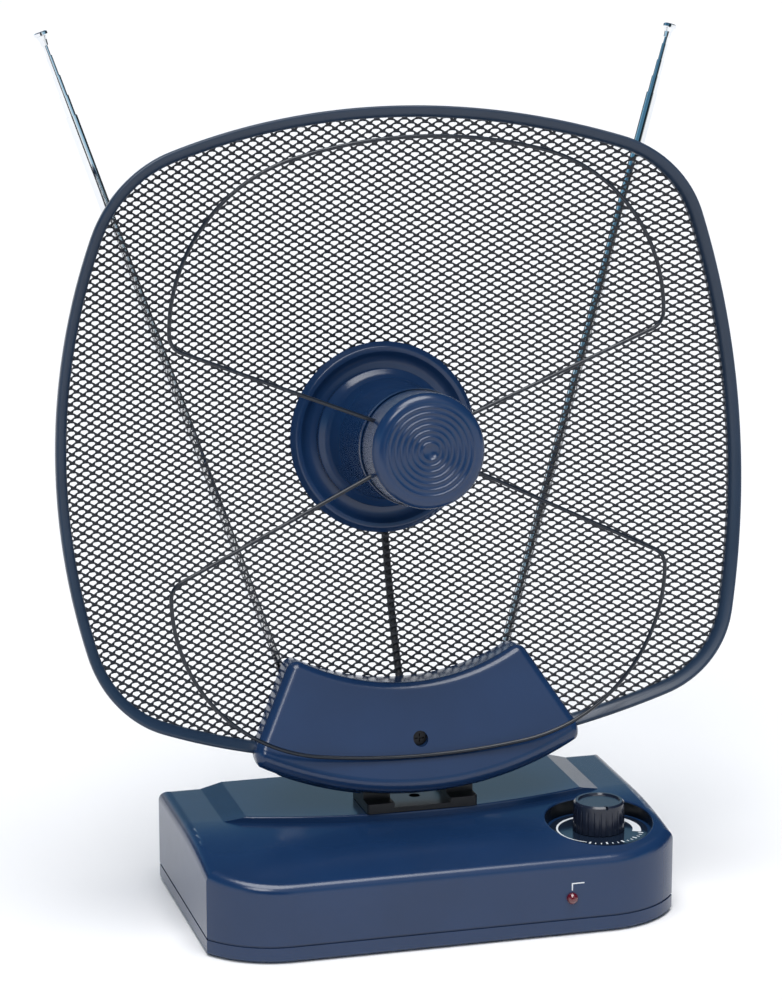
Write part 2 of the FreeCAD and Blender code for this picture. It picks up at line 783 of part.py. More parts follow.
def behind_front_face(drop):
    """Everything behind the shoe's leaning front face."""
    at_axis = shoe_front_at_wire - shoe_front_slope * shoe_wire_height - drop
    slab = box((-200, 200), (-200, 200), (-200, 0))
    slab.rotate(Vector(0, 0, 0), X_AXIS, math.degrees(math.atan(shoe_front_slope)))
    slab.translate(Vector(0, 0, at_axis))
    return slab


def shoe_taper(inset):
    """Everything inside the lower wall of the front shell, which leans in towards the face."""
    low, high = shoe_draft
    outer = shoe_outer - inset
    face_outer = shoe_face_outer - inset
    return revolve([(0, -60), (outer, -60), (outer, low), (face_outer, high), (0, high)])


def make_shoe_front_shell():
    block = shoe_block(shoe_inner, shoe_half_angle, 0).common(behind_front_face(0)).common(shoe_taper(0))
    front = [f for f in block.Faces if isinstance(f.Surface, Part.Plane) and f.normalAt(0, 0).z > 0.8]
    block = block.makeFillet(shoe_front_rounding, front[0].Edges)
    shell = block.common(dish_ball(-dish_sheet / 2))
    hollow = shoe_block(shoe_inner, shoe_half_angle, shoe_wall).common(dish_ball(1))
    hollow = hollow.common(behind_front_face(shoe_wall)).common(shoe_taper(shoe_wall))
    bosses = [rod(shoe_post_radius, (x, shoe_rear_screw_height, -30), 60) for x in shoe_rear_screw_places()]
    bosses.append(rod(5.0, (0, shoe_screw_height, 2.6), 20))
    keep = group([b.common(hollow) for b in bosses])
    shell = shell.cut(hollow.cut(keep))
    shell = shell.cut(rim_band())
    shell = shell.cut(group([shoe_front_screw_space()] + shoe_rear_screws()))
    shell = to_head(shell)
    return shell.cut(neck_opening())


def make_shoe_rear_shell():
    """The smaller shell behind the mesh, with the pillars that carry the rods."""
    block = shoe_block(shoe_rear_inner, shoe_rear_half_angle, 0)
    block = block.common(dish_ball(dish_sheet / 2 + shoe_rear_depth))
    rear = [f for f in block.Faces if isinstance(f.Surface, Part.Sphere)]
    block = block.makeFillet(2.5, rear[0].Edges)
    shell = block.cut(dish_ball(dish_sheet / 2))
    pillar_rear = rod_plane + pivot_disc_thickness / 2 + 0.2
    pillars = [rod(pillar_radius, (x, pivot_height, pillar_rear), 40) for x in pivot_x.values()]
    pillars = [p.cut(dish_ball(dish_sheet / 2)) for p in pillars]
    hollow = shoe_block(shoe_rear_inner, shoe_rear_half_angle, shoe_wall).cut(dish_ball(-1))
    hollow = hollow.common(dish_ball(dish_sheet / 2 + shoe_rear_depth - 2.0))
    posts = [rod(shoe_post_radius, (x, shoe_rear_screw_height, -60), 90) for x in shoe_rear_screw_places()]
    keep = [p.common(hollow) for p in pillars + posts]
    shell = shell.cut(hollow.cut(group(keep)))
    shell = fuse([shell] + pillars)
    shell = shell.cut(rim_band()).cut(downlead_shape())
    shell = shell.cut(group(shoe_rear_screws() + pivot_screw_shapes()))
    shell = to_head(shell)
    return shell.cut(neck_opening())


def neck_opening():
    """Slot in the shoe's underside for the hinge ears and the tongue."""
    reach = knuckle_radius + 1.6
    return box((-neck_half_width - 1.2, neck_half_width + 1.2), (hinge_y - reach, hinge_y + reach),
               (ear_shoulder_z - 2, hinge_z + knuckle_radius + 1.2))


def shoe_front_screw_space():
    """Hole and counterbore for the screw in the shoe's front."""
    counterbore = rod(3.3, (0, shoe_screw_height, shoe_screw_seat), 20)
    return fuse([counterbore, rod(1.6, (0, shoe_screw_height, -5), 20)])


def shoe_rear_screw_places():
    return (-shoe_rear_screw_x, shoe_rear_screw_x)


def shoe_rear_screws():
    """Two screws from behind, below the rim, that hold the shells together."""
    screws = []
    for x in shoe_rear_screw_places():
        sizes = (shoe_rear_screw_head, shoe_rear_screw_shank)
        screws.append(fuse([rod(r, (x, shoe_rear_screw_height, z), length) for r, z, length in sizes]))
    return screws


def make_shoe_screws():
    y = shoe_screw_height
    head_radius, head_height = shoe_screw_head
    radius, start, length = shoe_screw_shank
    front = fuse([rod(head_radius, (0, y, shoe_screw_seat), head_height), rod(radius, (0, y, start), length)])
    bottom = shoe_screw_seat + 0.6
    cross = fuse([box((-2.0, 2.0), (y - 0.35, y + 0.35), (bottom, bottom + 2)),
                  box((-0.35, 0.35), (y - 2.0, y + 2.0), (bottom, bottom + 2))])
    return to_head(group([front.cut(cross)] + shoe_rear_screws()))


def make_hinge_tongue():
    """Knuckle on the hinge pin with a plate that rises in front of the rim."""
    width = ear_inner - 0.3
    knuckle = rod(knuckle_radius, (-width, hinge_y, hinge_z), 2 * width, X_AXIS)
    plate = to_head(box((-width, width), *tongue_plate))
    tongue = fuse([knuckle, plate])
    tongue = tongue.cut(hinge_pin_shape(running_gap))
    return tongue.cut(to_head(rod(1.5, (0, shoe_screw_height, -5), 20)))


# --- downlead ---

def downlead_shape():
    """Coax from the boss to the shoe, curved along the back of the mesh."""
    radius = dish_radius + dish_sheet / 2 + downlead_radius + 0.4
    centre = Vector(0, 0, dish_depth + dish_radius)
    middle = (downlead_top + downlead_bottom) / 2
    angles = [math.asin(height / radius) for height in (downlead_top, middle, downlead_bottom)]
    points = [centre + Vector(0, radius * math.sin(a), -radius * math.cos(a)) for a in angles]
    path = Part.Wire(Part.Arc(*points).toShape())
    along = path.Edges[0].tangentAt(path.Edges[0].FirstParameter)
    circle = Part.Wire(Part.makeCircle(downlead_radius, points[0], along))
    return path.makePipeShell([circle], True, True)


# --- rods ---

def pivot_screw_shapes():
    """Shouldered screws that the rods turn on."""
    disc_rear = rod_plane - pivot_disc_thickness / 2
    screws = []
    for x in pivot_x.values():
        radius, height, stand = pivot_head
        head = rod(radius, (x, pivot_height, disc_rear - stand), height)
        shank = rod(pivot_screw_radius, (x, pivot_height, disc_rear - 1), pivot_screw_length)
        screws.append(fuse([head, shank]))
    return screws


def make_pivot_screws():
    return to_head(group(pivot_screw_shapes()))


def to_rod(shape, side):
    """Move a shape drawn upwards from the pivot to a rod's place on the head."""
    moved = shape.copy()
    moved.rotate(Vector(0, 0, 0), Z_AXIS, rod_swing[side])
    moved.translate(Vector(pivot_x[side], pivot_height, rod_plane))
    return to_head(moved)


def make_rod_knuckle():
    """Pivot disc, flat neck and a socket for the outer tube."""
    half = pivot_disc_thickness / 2
    disc = rod(pivot_disc_radius, (0, 0, -half), pivot_disc_thickness)
    neck = box((-3.4, 3.4), (0, socket_start + 1), (-half, half))
    socket = rod(3.4, (0, socket_start, 0), 11.0, Y_AXIS)
    knuckle = fuse([disc, neck, socket]).cut(rod(pivot_screw_radius + running_gap, (0, 0, -10), 20))
    return knuckle.cut(rod(tube_radii[0], (0, tube_bottom, 0), 20, Y_AXIS))


def make_rod_tube():
    """Outer tube, open at its top."""
    tube = rod(tube_radii[0], (0, tube_bottom, 0), tube_top - tube_bottom, Y_AXIS)
    return tube.cut(rod(tube_radii[1] + running_gap, (0, tube_bottom + 2, 0), tube_top, Y_AXIS))


def section_ends(index, side):
    """Bottom and top of a sliding section at rest, measured from the pivot."""
    top = tube_top + rod_rest_out[side] * index
    return top - section_length + section_step * (index - 1), top


def make_rod_section(index, side):
    """One sliding section: a tube, or a solid rod for the last one."""
    bottom, top = section_ends(index, side)
    radius = tube_radii[index]
    bar = rod(radius, (0, bottom, 0), top - bottom, Y_AXIS)
    if index == len(tube_radii) - 1:
        return bar
    bore = tube_radii[index + 1] + running_gap
    return bar.cut(rod(bore, (0, bottom - 1, 0), top - bottom + 2, Y_AXIS))


def make_rod_tip(side):
    """Flared cap on the end of the last section."""
    top = section_ends(len(tube_radii) - 1, side)[1]
    cap = revolve([(0, -5.5), (1.5, -5.5), (1.7, -3.0), (2.4, -1.2),
                   (3.0, -0.9), (3.0, 0.2), (2.4, 0.6), (0, 0.6)])
    cap = cap.cut(rod(tube_radii[-1], (0, 0, -6), 5.0))
    cap.rotate(Vector(0, 0, 0), X_AXIS, -90)
    cap.translate(Vector(0, top + 1.0, 0))
    return cap


def build_parts():
    """Every node's name with its shape."""
    parts = {
        "base_cover": make_base_cover(),
        "base_plate": make_base_plate(),
        "rubber_feet": make_rubber_feet(),
        "base_screws": make_base_screws(),
        "amplifier_board": make_amplifier_board(),
        "shield_can": make_shield_can(),
        "gain_potentiometer": make_gain_potentiometer(),
        "dial_scale": make_dial_scale(),
        "gain_shaft": make_gain_shaft(),
        "gain_knob": make_gain_knob(),
        "power_lamp": make_power_lamp(),
        "aerial_socket": make_aerial_socket(),
        "power_jack": make_power_jack(),
        "swivel_turntable": make_swivel_turntable(),
        "swivel_retainer": make_swivel_retainer(),
        "hinge_pin": make_hinge_pin(),
        "hinge_tongue": make_hinge_tongue(),
        "shoe_front_shell": make_shoe_front_shell(),
        "shoe_rear_shell": make_shoe_rear_shell(),
        "shoe_screws": make_shoe_screws(),
        "reflector_mesh": to_head(make_reflector_mesh()),
        "reflector_rim": to_head(make_reflector_rim()),
        "boss_flange": to_head(make_boss_flange()),
        "boss_neck": to_head(make_boss_neck()),
        "boss_cap": to_head(make_boss_cap()),
        "rear_clamp": to_head(make_rear_clamp()),
        "clamp_screws": to_head(make_clamp_screws()),
        "matching_board": to_head(make_matching_board()),
        "upper_loop": to_head(loop_shape("upper")),
        "lower_loop": to_head(loop_shape("lower")),
        "downlead": to_head(downlead_shape()),
        "pivot_screws": make_pivot_screws(),
    }
    for side in ("left", "right"):
        parts[side + "_rod_knuckle"] = to_rod(make_rod_knuckle(), side)
        parts[side + "_rod_tube"] = to_rod(make_rod_tube(), side)
        for index in range(1, len(tube_radii)):
            parts[side + "_rod_section_" + str(index)] = to_rod(make_rod_section(index, side), side)
        parts[side + "_rod_tip"] = to_rod(make_rod_tip(side), side)
    return parts


def main():
    os.makedirs("parts", exist_ok=True)
    for name, shape in build_parts().items():
        shape.exportStep(os.path.join("parts", name + ".step"))
        print(name, shape.isValid(), len(shape.Solids), round(shape.Volume / 1000.0, 2), "cm3")


main()
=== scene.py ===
import json
import math

import bpy
import numpy as np
from mathutils import Matrix, Vector


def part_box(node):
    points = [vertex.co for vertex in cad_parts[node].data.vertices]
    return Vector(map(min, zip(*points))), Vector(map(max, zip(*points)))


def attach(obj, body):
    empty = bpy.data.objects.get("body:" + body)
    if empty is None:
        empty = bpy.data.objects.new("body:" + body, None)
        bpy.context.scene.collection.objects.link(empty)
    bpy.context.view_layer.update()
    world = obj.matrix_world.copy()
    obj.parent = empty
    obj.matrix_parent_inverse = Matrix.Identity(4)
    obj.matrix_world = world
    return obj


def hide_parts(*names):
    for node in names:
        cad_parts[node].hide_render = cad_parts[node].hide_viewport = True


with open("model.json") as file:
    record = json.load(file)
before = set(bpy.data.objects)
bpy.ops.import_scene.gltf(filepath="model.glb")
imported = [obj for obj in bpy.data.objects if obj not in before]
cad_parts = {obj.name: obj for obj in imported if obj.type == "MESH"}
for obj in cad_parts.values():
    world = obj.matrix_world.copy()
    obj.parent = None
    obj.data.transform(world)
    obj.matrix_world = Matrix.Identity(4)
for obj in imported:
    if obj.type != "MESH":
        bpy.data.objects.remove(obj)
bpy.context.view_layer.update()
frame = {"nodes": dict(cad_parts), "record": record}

# Amplified indoor aerial on a plain pale floor. Lengths are in millimetres until a mesh is made.
MM = 0.001

# --- head frame: X across, Y up along the reflector, Z forward out of it ---
head_origin = Vector((0.0, 20.0, 199.5))
head_tilt = 7.5
HEAD = Matrix.Translation(head_origin * MM) @ Matrix.Rotation(math.radians(90 - head_tilt), 4, "X")

# --- reflector ---
dish_radius = 296.0
dish_depth = -41.0
dish_half_width = 151.4
dish_top = 143.6
dish_bottom = 136.8
dish_side_arc = (299.0, -8.3)           # radius, height of its centre
dish_top_radius = 312.0
dish_bottom_radius = 305.0
dish_corner_radii = (56.0, 51.0)        # upper, lower
rim_width = 5.0
rim_thickness = 5.0
rim_rounding = 1.7

# --- expanded metal: width and height of an opening's cell, and the strands round it ---
cell_width = 6.1
cell_height = 3.5
strand_width = 1.08
strand_thickness = 0.5
strand_lean = 0.22
strand_arch = 0.34                      # how far each strand bows upwards
mesh_hole_radius = 12.0

# --- boss ---
flange_radius = 42.0
flange_lift = 3.8                       # the flange's edge above the reflector's lowest point
ring_radius = 38.5
cove_radius = 34.6
neck_foot_radius = 30.4
waist_radius = 23.2
cap_radius = 25.0
cap_seam = 18.5
cap_face = 38.6
cap_rings = [3.6 + 2.5 * k for k in range(7)]
cap_ring_size = (0.34, 0.26)            # half width, rise
seam_slot = 1.8                         # depth of the slot round the seam

# --- prints ---
lamp_x = 51.3
lamp_top = 20.3
front_y = -57.5
dial = Vector((73.8, -25.0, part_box("dial_scale")[1].z / MM))
dial_band_radius = 18.3
dial_band_turn = (235.0, -26.0)         # where the band starts and ends, in degrees
dial_band_width = (0.5, 3.8)            # at its two ends
dial_mark_start = 240.0
dial_mark_step = 7.5
dial_mark_count = 13
dial_mark_outer = 19.6
dial_recess_radius = 23.2
dial_floor = 34.4
base_top = 41.6
top_slope = (280.0, 10.0)               # radius, where the level part ends
print_thickness = 0.04


# ---------------------------------------------------------------- materials

def shader(name, colour, roughness, metallic=0.0):
    """A new material's node tree and its Principled shader."""
    material = bpy.data.materials.new(name)
    material.use_nodes = True
    principled = material.node_tree.nodes["Principled BSDF"]
    principled.inputs["Base Color"].default_value = (*colour, 1)
    principled.inputs["Roughness"].default_value = roughness
    principled.inputs["Metallic"].default_value = metallic
    return material, principled


def noise(tree, scale, detail=3.0, stretch=(1, 1, 1)):
    """Noise through the object's own coordinates; scale counts features per metre."""
    coordinates = tree.nodes.new("ShaderNodeTexCoord")
    mapping = tree.nodes.new("ShaderNodeMapping")
    mapping.inputs["Scale"].default_value = stretch
    texture = tree.nodes.new("ShaderNodeTexNoise")
    texture.inputs["Scale"].default_value = scale
    texture.inputs["Detail"].default_value = detail
    tree.links.new(coordinates.outputs["Object"], mapping.inputs["Vector"])
    tree.links.new(mapping.outputs["Vector"], texture.inputs["Vector"])
    return texture.outputs["Fac"]


def vary_colour(tree, principled, source, colour, amount):
    """Lets the base colour drift by a share of itself."""
    ramp = tree.nodes.new("ShaderNodeValToRGB")
    ramp.color_ramp.elements[0].position = 0.3
    ramp.color_ramp.elements[1].position = 0.7
    ramp.color_ramp.elements[0].color = (*(c * (1 - amount) for c in colour), 1)
    ramp.color_ramp.elements[1].color = (*(c * (1 + amount) for c in colour), 1)
    tree.links.new(source, ramp.inputs["Fac"])
    tree.links.new(ramp.outputs["Color"], principled.inputs["Base Color"])


def vary_roughness(tree, principled, source, low, high):
    spread = tree.nodes.new("ShaderNodeMapRange")
    spread.inputs["To Min"].default_value = low
    spread.inputs["To Max"].default_value = high
    tree.links.new(source, spread.inputs["Value"])
    tree.links.new(spread.outputs["Result"], principled.inputs["Roughness"])


def add_bump(tree, principled, source, strength, depth_mm):
    bump = tree.nodes.new("ShaderNodeBump")
    bump.inputs["Strength"].default_value = strength
    bump.inputs["Distance"].default_value = depth_mm * MM
    tree.links.new(source, bump.inputs["Height"])
    tree.links.new(bump.outputs["Normal"], principled.inputs["Normal"])


def finish_material(name, colour, roughness, metallic=0.0, drift=0.08, grain=2200.0, relief=0.03,
                    stretch=(1, 1, 1)):
    """Slow colour drift, uneven polish and a fine surface grain over one base colour."""
    material, principled = shader(name, colour, roughness, metallic)
    tree = material.node_tree
    vary_colour(tree, principled, noise(tree, 28.0), colour, drift)
    vary_roughness(tree, principled, noise(tree, 140.0), roughness * 0.88, roughness * 1.14)
    add_bump(tree, principled, noise(tree, grain, 2.0, stretch), 0.5, relief)
    return material, principled


def make_materials():
    made = {}
    made["navy_plastic"] = finish_material("navy_plastic", (0.008, 0.028, 0.082), 0.2, relief=0.012)[0]
    made["rim_plastic"] = finish_material("rim_plastic", (0.013, 0.028, 0.056), 0.34, relief=0.02)[0]
    made["black_plastic"] = finish_material("black_plastic", (0.002, 0.0025, 0.004), 0.3)[0]
    made["knob_plastic"] = finish_material("knob_plastic", (0.010, 0.014, 0.028), 0.2, relief=0.008)[0]
    made["rubber"] = finish_material("rubber", (0.012, 0.012, 0.013), 0.8, grain=1500.0, relief=0.06)[0]
    made["screw_steel"] = finish_material("screw_steel", (0.012, 0.012, 0.014), 0.35, 0.6)[0]
    made["circuit_board"] = finish_material("circuit_board", (0.012, 0.12, 0.04), 0.3)[0]
    made["tinned_steel"] = finish_material("tinned_steel", (0.55, 0.55, 0.53), 0.32, 1.0)[0]
    made["scale_print"] = finish_material("scale_print", (0.008, 0.014, 0.028), 0.12, relief=0.004)[0]
    made["plated_brass"] = finish_material("plated_brass", (0.62, 0.58, 0.50), 0.25, 1.0)[0]
    made["mesh_black"] = finish_material("mesh_black", (0.008, 0.010, 0.016), 0.42, relief=0.02)[0]
    made["cable_black"] = finish_material("cable_black", (0.008, 0.008, 0.010), 0.5, relief=0.05)[0]
    made["loop_wire"], wire = finish_material("loop_wire", (0.003, 0.006, 0.013), 0.3, relief=0.005)
    wire.inputs["Coat Weight"].default_value = 0.15
    wire.inputs["Coat Roughness"].default_value = 0.12
    made["rod_chrome"] = finish_material("rod_chrome", (0.86, 0.87, 0.88), 0.07, 1.0, drift=0.03,
                                         grain=900.0, relief=0.006, stretch=(1, 1, 6))[0]
    made["lamp_red"], lamp = finish_material("lamp_red", (0.13, 0.003, 0.010), 0.12, relief=0.004)
    lamp.inputs["Coat Weight"].default_value = 1.0
    lamp.inputs["Coat Roughness"].default_value = 0.05
    lamp.inputs["Transmission Weight"].default_value = 0.25
    made["white_ink"] = finish_material("white_ink", (0.72, 0.74, 0.76), 0.55, drift=0.04, relief=0.01)[0]
    return made


def paint(obj, material):
    """Gives every face of an object one material."""
    while len(obj.material_slots) < 1:
        obj.data.materials.append(material)
    for place in obj.material_slots:
        place.material = material


def paint_cad_nodes(made):
    """Every CAD node takes the finish of its slot in the record."""
    own = {"gain_knob": "knob_plastic"}
    for part in frame["record"]["subparts"]:
        name = part["node"]
        paint(frame["nodes"][name], made[own.get(name, part["material_slot"])])


# ---------------------------------------------------------------- mesh helpers

def add_piece(name, vertices, faces, body, slot, material, place=None, sharp=40.0):
    """A new piece from points in millimetres that rides on a CAD body."""
    mesh = bpy.data.meshes.new(name)
    mesh.from_pydata((np.asarray(vertices, float) * MM).tolist(), [], faces)
    if place is not None:
        mesh.transform(place)
    mesh.update()
    mesh.shade_smooth()
    mesh.set_sharp_from_angle(angle=math.radians(sharp))
    piece = bpy.data.objects.new(name, mesh)
    bpy.context.scene.collection.objects.link(piece)
    paint(piece, material)
    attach(piece, body)
    return piece


def soften(corners, steps=7):
    """A polyline through (r, n, radius) corners, with each corner rounded by an arc."""
    points = [Vector(c[:2]) for c in corners]
    line = []
    for index, (_, _, radius) in enumerate(corners):
        here = points[index]
        if radius == 0:
            line.append(here)
            continue
        back = (points[index - 1] - here).normalized()
        ahead = (points[index + 1] - here).normalized()
        half = back.angle(ahead) / 2
        start, end = here + back * radius / math.tan(half), here + ahead * radius / math.tan(half)
        centre = here + (back + ahead).normalized() * radius / math.sin(half)
        for k in range(steps + 1):
            ray = (start - centre).lerp(end - centre, k / steps).normalized()
            line.append(centre + ray * radius)
    return [tuple(p) for p in line]


def lathe(profile, segments=168):
    """Points and faces of a solid of revolution about Z; the profile starts and ends on the axis."""
    vertices, rings = [], []
    for radius, height in profile:
        if radius < 1e-6:
            rings.append([len(vertices)] * segments)
            vertices.append((0, 0, height))
            continue
        rings.append(list(range(len(vertices), len(vertices) + segments)))
        for k in range(segments):
            angle = 2 * math.pi * k / segments
            vertices.append((radius * math.cos(angle), radius * math.sin(angle), height))
    faces = []
    for low, high in zip(rings, rings[1:]):
        for k in range(segments):
            after = (k + 1) % segments
            corners = [low[k], low[after], high[after], high[k]]
            faces.append(list(dict.fromkeys(corners)))
    return vertices, faces


def prism(outline, rise):
    """Points and faces of a flat outline of 3-D points carried along one direction."""
    count = len(outline)
    vertices = [tuple(p) for p in outline] + [tuple(Vector(p) + Vector(rise)) for p in outline]
    faces = [list(range(count))[::-1], list(range(count, 2 * count))]
    for k in range(count):
        after = (k + 1) % count
        faces.append([k, after, after + count, k + count])
    return vertices, faces


# ---------------------------------------------------------------- reflector

def meeting(c1, r1, c2, r2, side):
    """Where two circles cross; side picks the higher or the lower crossing."""
    gap = c2 - c1
    along = (gap.length ** 2 + r1 ** 2 - r2 ** 2) / (2 * gap.length)
    across = math.sqrt(r1 ** 2 - along ** 2)
    unit = gap.normalized()
    normal = Vector((-unit.y, unit.x))
    return max((c1 + unit * along + normal * s * across for s in (1, -1)), key=lambda p: p.x + side * p.y)


def dish_arcs():
    """The right half of the reflector's outline as (centre, radius, start, end) arcs, bottom to top."""
    side_radius, side_height = dish_side_arc
    high, low = dish_corner_radii
    side = Vector((dish_half_width - side_radius, side_height))
    top = Vector((0, dish_top - dish_top_radius))
    bottom = Vector((0, dish_bottom_radius - dish_bottom))
    upper = meeting(side, side_radius - high, top, dish_top_radius - high, 1)
    lower = meeting(side, side_radius - low, bottom, dish_bottom_radius - low, -1)

    def heading(centre, point):
        return math.atan2(point.y - centre.y, point.x - centre.x)

    turns = [-math.pi / 2, heading(bottom, lower), heading(side, lower),
             heading(side, upper), heading(top, upper), math.pi / 2]
    circles = [(bottom, dish_bottom_radius), (lower, low), (side, side_radius), (upper, high),
               (top, dish_top_radius)]
    return [(c, r, turns[k], turns[k + 1]) for k, (c, r) in enumerate(circles)]


def outline(step=3.0):
    """Points round the outline with their outward directions."""
    right = []
    for centre, radius, start, end in dish_arcs():
        count = max(2, round(radius * (end - start) / step))
        for k in range(count):
            angle = start + (end - start) * k / count
            out = Vector((math.cos(angle), math.sin(angle)))
            right.append((centre + out * radius, out))
    right.append((Vector((0, dish_top)), Vector((0, 1))))
    left = [(Vector((-p.x, p.y)), Vector((-o.x, o.y))) for p, o in right[-2:0:-1]]
    return right + left


def reach(offset, angles):
    """Distance from the middle to the outline moved outwards by offset, at each angle."""
    points = np.array([tuple(p + o * offset) for p, o in outline(2.0)])
    turn = np.arctan2(points[:, 1], points[:, 0])
    order = np.argsort(turn)
    return np.interp(angles, turn[order], np.hypot(points[:, 0], points[:, 1])[order], period=2 * math.pi)


def dish_height(u, v):
    return dish_depth + dish_radius - np.sqrt(dish_radius ** 2 - u ** 2 - v ** 2)


def on_dish(u, v, lift):
    """Points on the reflector's surface, lifted along its normal."""
    height = dish_height(u, v)
    share = lift / dish_radius
    centre = dish_depth + dish_radius
    return np.stack([u - u * share, v - v * share, height + (centre - height) * share], axis=-1)


def cell_ring():
    """Eight places round a cell's edge, and the eight round its opening, with the opening's lift."""
    a, b = cell_width / 2, cell_height / 2
    edge = [(-a, 0), (-a / 2, b / 2), (0, b), (a / 2, b / 2),
            (a, 0), (a / 2, -b / 2), (0, -b), (-a / 2, -b / 2)]
    bow = strand_arch
    slant = strand_width / 2 * math.hypot(a, b)
    x, y = slant / b, slant / a
    rise, fall = strand_lean, -strand_lean
    upper, lower = b / 2 - y * 0.5 + bow, y * 0.5 - b / 2 + bow
    hole = [(-a + x, 0, 0), (-a / 2, upper, fall), (0, b - y, fall), (a / 2, upper, fall),
            (a - x, 0, 0), (a / 2, lower, rise), (0, -b + y, rise), (-a / 2, lower, rise)]
    return edge, hole


def make_expanded_metal(made):
    """The reflector's sheet: staggered openings with leaning strands, pressed into a shallow bowl."""
    a, b = cell_width / 2, cell_height / 2
    columns, rows = int(dish_half_width / a) + 1, int(dish_top / b) + 1
    grid = [(i, j) for i in range(-columns, columns + 1) for j in range(-rows, rows + 1) if (i + j) % 2 == 0]
    centres = np.array([(i * a, j * b) for i, j in grid])
    turn = np.arctan2(centres[:, 1], centres[:, 0])
    away = np.hypot(centres[:, 0], centres[:, 1])
    centres = centres[(away < reach(-2.0, turn)) & (away > mesh_hole_radius + a)]

    edge, hole = cell_ring()
    shared, places, lifts, faces = {}, [], [], []

    def corner(x, y):
        key = (round(x / a * 2), round(y / b * 2))
        if key not in shared:
            shared[key] = len(places)
            places.append((x, y + strand_arch * (key[0] % 2)))
            lifts.append(0.0)
        return shared[key]

    for cx, cy in centres:
        outer = [corner(cx + x, cy + y) for x, y in edge]
        first = len(places)
        for x, y, lift in hole:
            places.append((cx + x, cy + y))
            lifts.append(lift)
        for k in range(8):
            after = (k + 1) % 8
            faces.append([outer[k], first + k, first + after, outer[after]])

    flat = np.array(places)
    away = np.hypot(flat[:, 0], flat[:, 1])
    limit = reach(-1.4, np.arctan2(flat[:, 1], flat[:, 0]))
    flat *= np.minimum(1, limit / np.maximum(away, 1e-6))[:, None]
    points = on_dish(flat[:, 0], flat[:, 1], np.array(lifts))
    sheet = add_piece("expanded_metal", points, faces, "head", "mesh_black", made["mesh_black"], HEAD,
                      sharp=80)
    solid = sheet.modifiers.new("thickness", "SOLIDIFY")
    solid.thickness = strand_thickness * MM
    solid.offset = 0
    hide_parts("reflector_mesh")


def make_edging(made):
    """Round-cornered plastic edging swept along the outline, on the bowl's surface."""
    w, t, r = rim_width / 2, rim_thickness / 2, rim_rounding
    section = []
    for cx, cy, start in ((w - r, t - r, 0), (r - w, t - r, 90), (r - w, r - t, 180), (w - r, r - t, 270)):
        for k in range(6):
            angle = math.radians(start + 18 * k)
            section.append((cx + r * math.cos(angle), cy + r * math.sin(angle)))
    path = outline(2.5)
    vertices = []
    for point, out in path:
        for across, lift in section:
            place = point + out * (across - rim_width / 2)
            level = math.sqrt(dish_radius ** 2 - place.length_squared)
            vertices.append((place.x, place.y, dish_depth + dish_radius - level + lift * dish_radius / level))
    count, faces = len(section), []
    for i in range(len(path)):
        after = (i + 1) % len(path)
        for k in range(count):
            step = (k + 1) % count
            faces.append([i * count + k, after * count + k, after * count + step, i * count + step])
    rim = add_piece("edging", vertices, faces, "head", "rim_plastic", made["rim_plastic"], HEAD, sharp=60)
    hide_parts("reflector_rim")


# ---------------------------------------------------------------- boss

def make_boss(made):
    """Flange with a rolled edge and a cove, waisted neck, and cap with fine rings."""
    rear = [(r, float(dish_height(np.float64(r), 0.0)) + 0.45, 0) for r in (0, 14, 28, flange_radius - 0.3)]
    base = dish_depth + flange_lift
    flange = rear + [(flange_radius, base, 0.3), (ring_radius + 1.1, base + 2.7, 1.1),
                     (ring_radius - 0.9, base + 2.4, 0.7), (cove_radius, base - 0.4, 5.0),
                     (neck_foot_radius, base, 0), (0, base, 0)]
    navy = made["navy_plastic"]
    piece = add_piece("boss_flange_shell", *lathe(soften(flange)), "head", "navy_plastic", navy, HEAD)
    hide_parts("boss_flange")

    neck = [(0, base + 0.1, 0), (neck_foot_radius - 0.2, base + 0.1, 0), (neck_foot_radius, base + 3.9, 0.9),
            (26.6, base + 7.0, 7.0), (waist_radius + 0.2, base + 18.0, 30.0), (waist_radius, 4.0, 60.0),
            (cap_radius + 0.2, cap_seam - 0.5, 0), (cap_radius, cap_seam, 0), (cap_radius - 0.1, cap_seam, 0),
            (cap_radius - 0.15, cap_seam - seam_slot, 0), (0, cap_seam - seam_slot, 0)]
    piece = add_piece("boss_waist", *lathe(soften(neck, 12)), "head", "navy_plastic", navy, HEAD)
    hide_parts("boss_neck")

    side = cap_radius - 0.55
    cap = [(0, cap_seam - 1.6, 0), (side, cap_seam - 1.6, 0), (side, cap_face, 4.4)]
    cap = soften(cap + [(0, cap_face, 0)], 10)[:-1]
    half_width, rise = cap_ring_size
    for radius in reversed(cap_rings):
        for degrees in range(0, 181, 30):
            turn = math.radians(degrees)
            cap.append((radius + half_width * math.cos(turn), cap_face + rise * math.sin(turn)))
    cap.append((0, cap_face))
    piece = add_piece("boss_cap_shell", *lathe(cap), "head", "navy_plastic", navy, HEAD, sharp=75)
    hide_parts("boss_cap")


# ---------------------------------------------------------------- prints

def make_lamp_mark(made):
    """Thin leader line from the lamp, up and then to the right."""
    line, rise, run = 0.5, 3.3, 5.6
    left, low = lamp_x - line / 2, lamp_top
    top = low + rise
    corners = [(left, low), (left + line, low), (left + line, top - line), (left + run, top - line),
               (left + run, top), (left, top)]
    points = [(x, front_y + 0.02, z) for x, z in corners]
    add_piece("lamp_mark", *prism(points, (0, -print_thickness, 0)), "base", "scale_print", made["white_ink"])


def dial_point(radius, degrees):
    angle = math.radians(degrees)
    return (dial.x + radius * math.cos(angle), dial.y + radius * math.sin(angle), dial.z)


